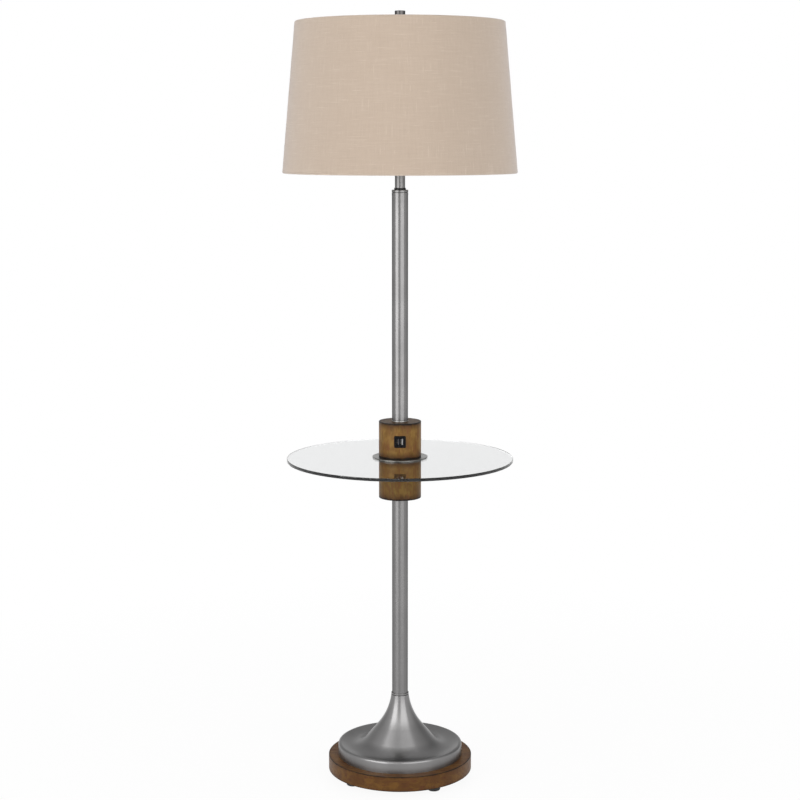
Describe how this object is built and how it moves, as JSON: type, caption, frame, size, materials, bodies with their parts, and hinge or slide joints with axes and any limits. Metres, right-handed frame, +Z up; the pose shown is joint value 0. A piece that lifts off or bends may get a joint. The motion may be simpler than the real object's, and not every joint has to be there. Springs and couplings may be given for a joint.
{
  "type": "floor lamp with table",
  "caption": "Floor lamp on a round weighted base, with a round glass tray table held between wooden blocks, a charging module and a tapered drum shade.",
  "frame": {"origin": "centre of the circle on the floor under the pole, at the height of the feet's undersides", "axes": "+Z up along the pole; -Y towards the side with the charging module; +Y towards the cord inlet; +X to the right seen from the module's side"},
  "size_m": [0.4567, 0.4568, 1.527],
  "materials": {
    "rubber": "matt moulded black rubber",
    "zinc_steel": "zinc plated",
    "plinth_wood": "stained and satin lacquered",
    "block_wood": "stained and satin lacquered",
    "cast_iron": "raw cast",
    "satin_nickel": "satin brushed nickel plate",
    "cover_nickel": "satin nickel plate on spun steel",
    "flange_nickel": "satin nickel plate",
    "clear_glass": "clear float glass with polished edge",
    "housing_black": "semi-gloss moulded black",
    "port_metal": "bright tin plate",
    "tongue_white": "moulded white",
    "tongue_dark": "moulded dark grey",
    "board_green": "solder mask",
    "lead_grey": "soft grey sleeve",
    "seat_black": "semi-gloss black",
    "brass": "bright dipped",
    "liner_card": "fibre card",
    "switch_bakelite": "moulded phenolic",
    "bulb_metal": "bright rolled",
    "bulb_frosted": "white frosted glass",
    "harp_wire": "nickel plated wire",
    "shade_wire": "white coated wire",
    "linen": "woven linen, hard-backed",
    "liner_styrene": "matt white styrene"
  },
  "bodies": {
    "stand": {"foot_front_right": "rubber", "foot_back_right": "rubber", "foot_back_left": "rubber", "foot_front_left": "rubber", "foot_screws": "zinc_steel", "plinth": "plinth_wood", "cord_bushing": "rubber", "base_weight": "cast_iron", "base_washer": "zinc_steel", "base_nut": "zinc_steel", "base_rod": "zinc_steel", "base_cover": "cover_nickel", "base_ring": "satin_nickel", "lower_pole": "satin_nickel", "lower_pole_bottom_plug": "zinc_steel", "lower_pole_top_plug": "zinc_steel", "lower_block": "block_wood", "table_rod": "zinc_steel", "tray_gasket_below": "rubber", "glass_tray": "clear_glass", "tray_gasket_above": "rubber", "tray_flange": "flange_nickel", "upper_block": "block_wood", "block_ring": "satin_nickel", "upper_pole": "satin_nickel", "upper_pole_plug": "zinc_steel", "pole_cap": "satin_nickel", "module_housing": "housing_black", "circuit_board": "board_green", "holder_lead": "lead_grey", "port_shell_left": "port_metal", "port_tongue_left": "tongue_dark", "port_shell_right": "port_metal", "port_tongue_right": "tongue_white", "seat_ring": "seat_black", "neck_tube": "satin_nickel", "neck_ring": "satin_nickel", "neck_rod": "zinc_steel", "harp_saddle": "harp_wire", "harp": "harp_wire", "harp_stud": "harp_wire", "holder_cap": "brass", "holder_shell": "brass", "holder_liner": "liner_card", "switch_body": "switch_bakelite", "screw_shell": "brass", "holder_contact": "brass"},
    "shade": {"spider_hub": "shade_wire", "spider_arms": "shade_wire", "shade_top_ring": "shade_wire", "shade_bottom_ring": "shade_wire", "shade_fabric": "linen", "shade_liner": "liner_styrene"},
    "finial": {"finial": "satin_nickel"},
    "bulb": {"bulb_cap": "bulb_metal", "bulb_glass": "bulb_frosted"},
    "switch_knob": {"switch_knob": "switch_bakelite", "switch_stem": "brass"},
    "harp_sleeve_left": {"harp_sleeve_left": "brass"},
    "harp_sleeve_right": {"harp_sleeve_right": "brass"}
  },
  "joints": [
    {"name": "shade_turn", "type": "hinge", "parent": "stand", "child": "shade", "pos_m": [0, 0, 1.4948], "axis": [0, 0, 1], "continuous": true},
    {"name": "finial_screw", "type": "hinge", "parent": "stand", "child": "finial", "pos_m": [0, 0, 1.4972], "axis": [0, 0, 1], "continuous": true},
    {"name": "bulb_screw", "type": "hinge", "parent": "stand", "child": "bulb", "pos_m": [0, 0, 1.2757], "axis": [0, 0, 1], "continuous": true},
    {"name": "switch_turn", "type": "hinge", "parent": "stand", "child": "switch_knob", "pos_m": [0, -0.0176, 1.2695], "axis": [0, -1, 0], "continuous": true},
    {"name": "sleeve_left_slide", "type": "slide", "parent": "stand", "child": "harp_sleeve_left", "axis": [0, 0, 1], "range_m": [0, 0.01]},
    {"name": "sleeve_right_slide", "type": "slide", "parent": "stand", "child": "harp_sleeve_right", "axis": [0, 0, 1], "range_m": [0, 0.01]}
  ]
}
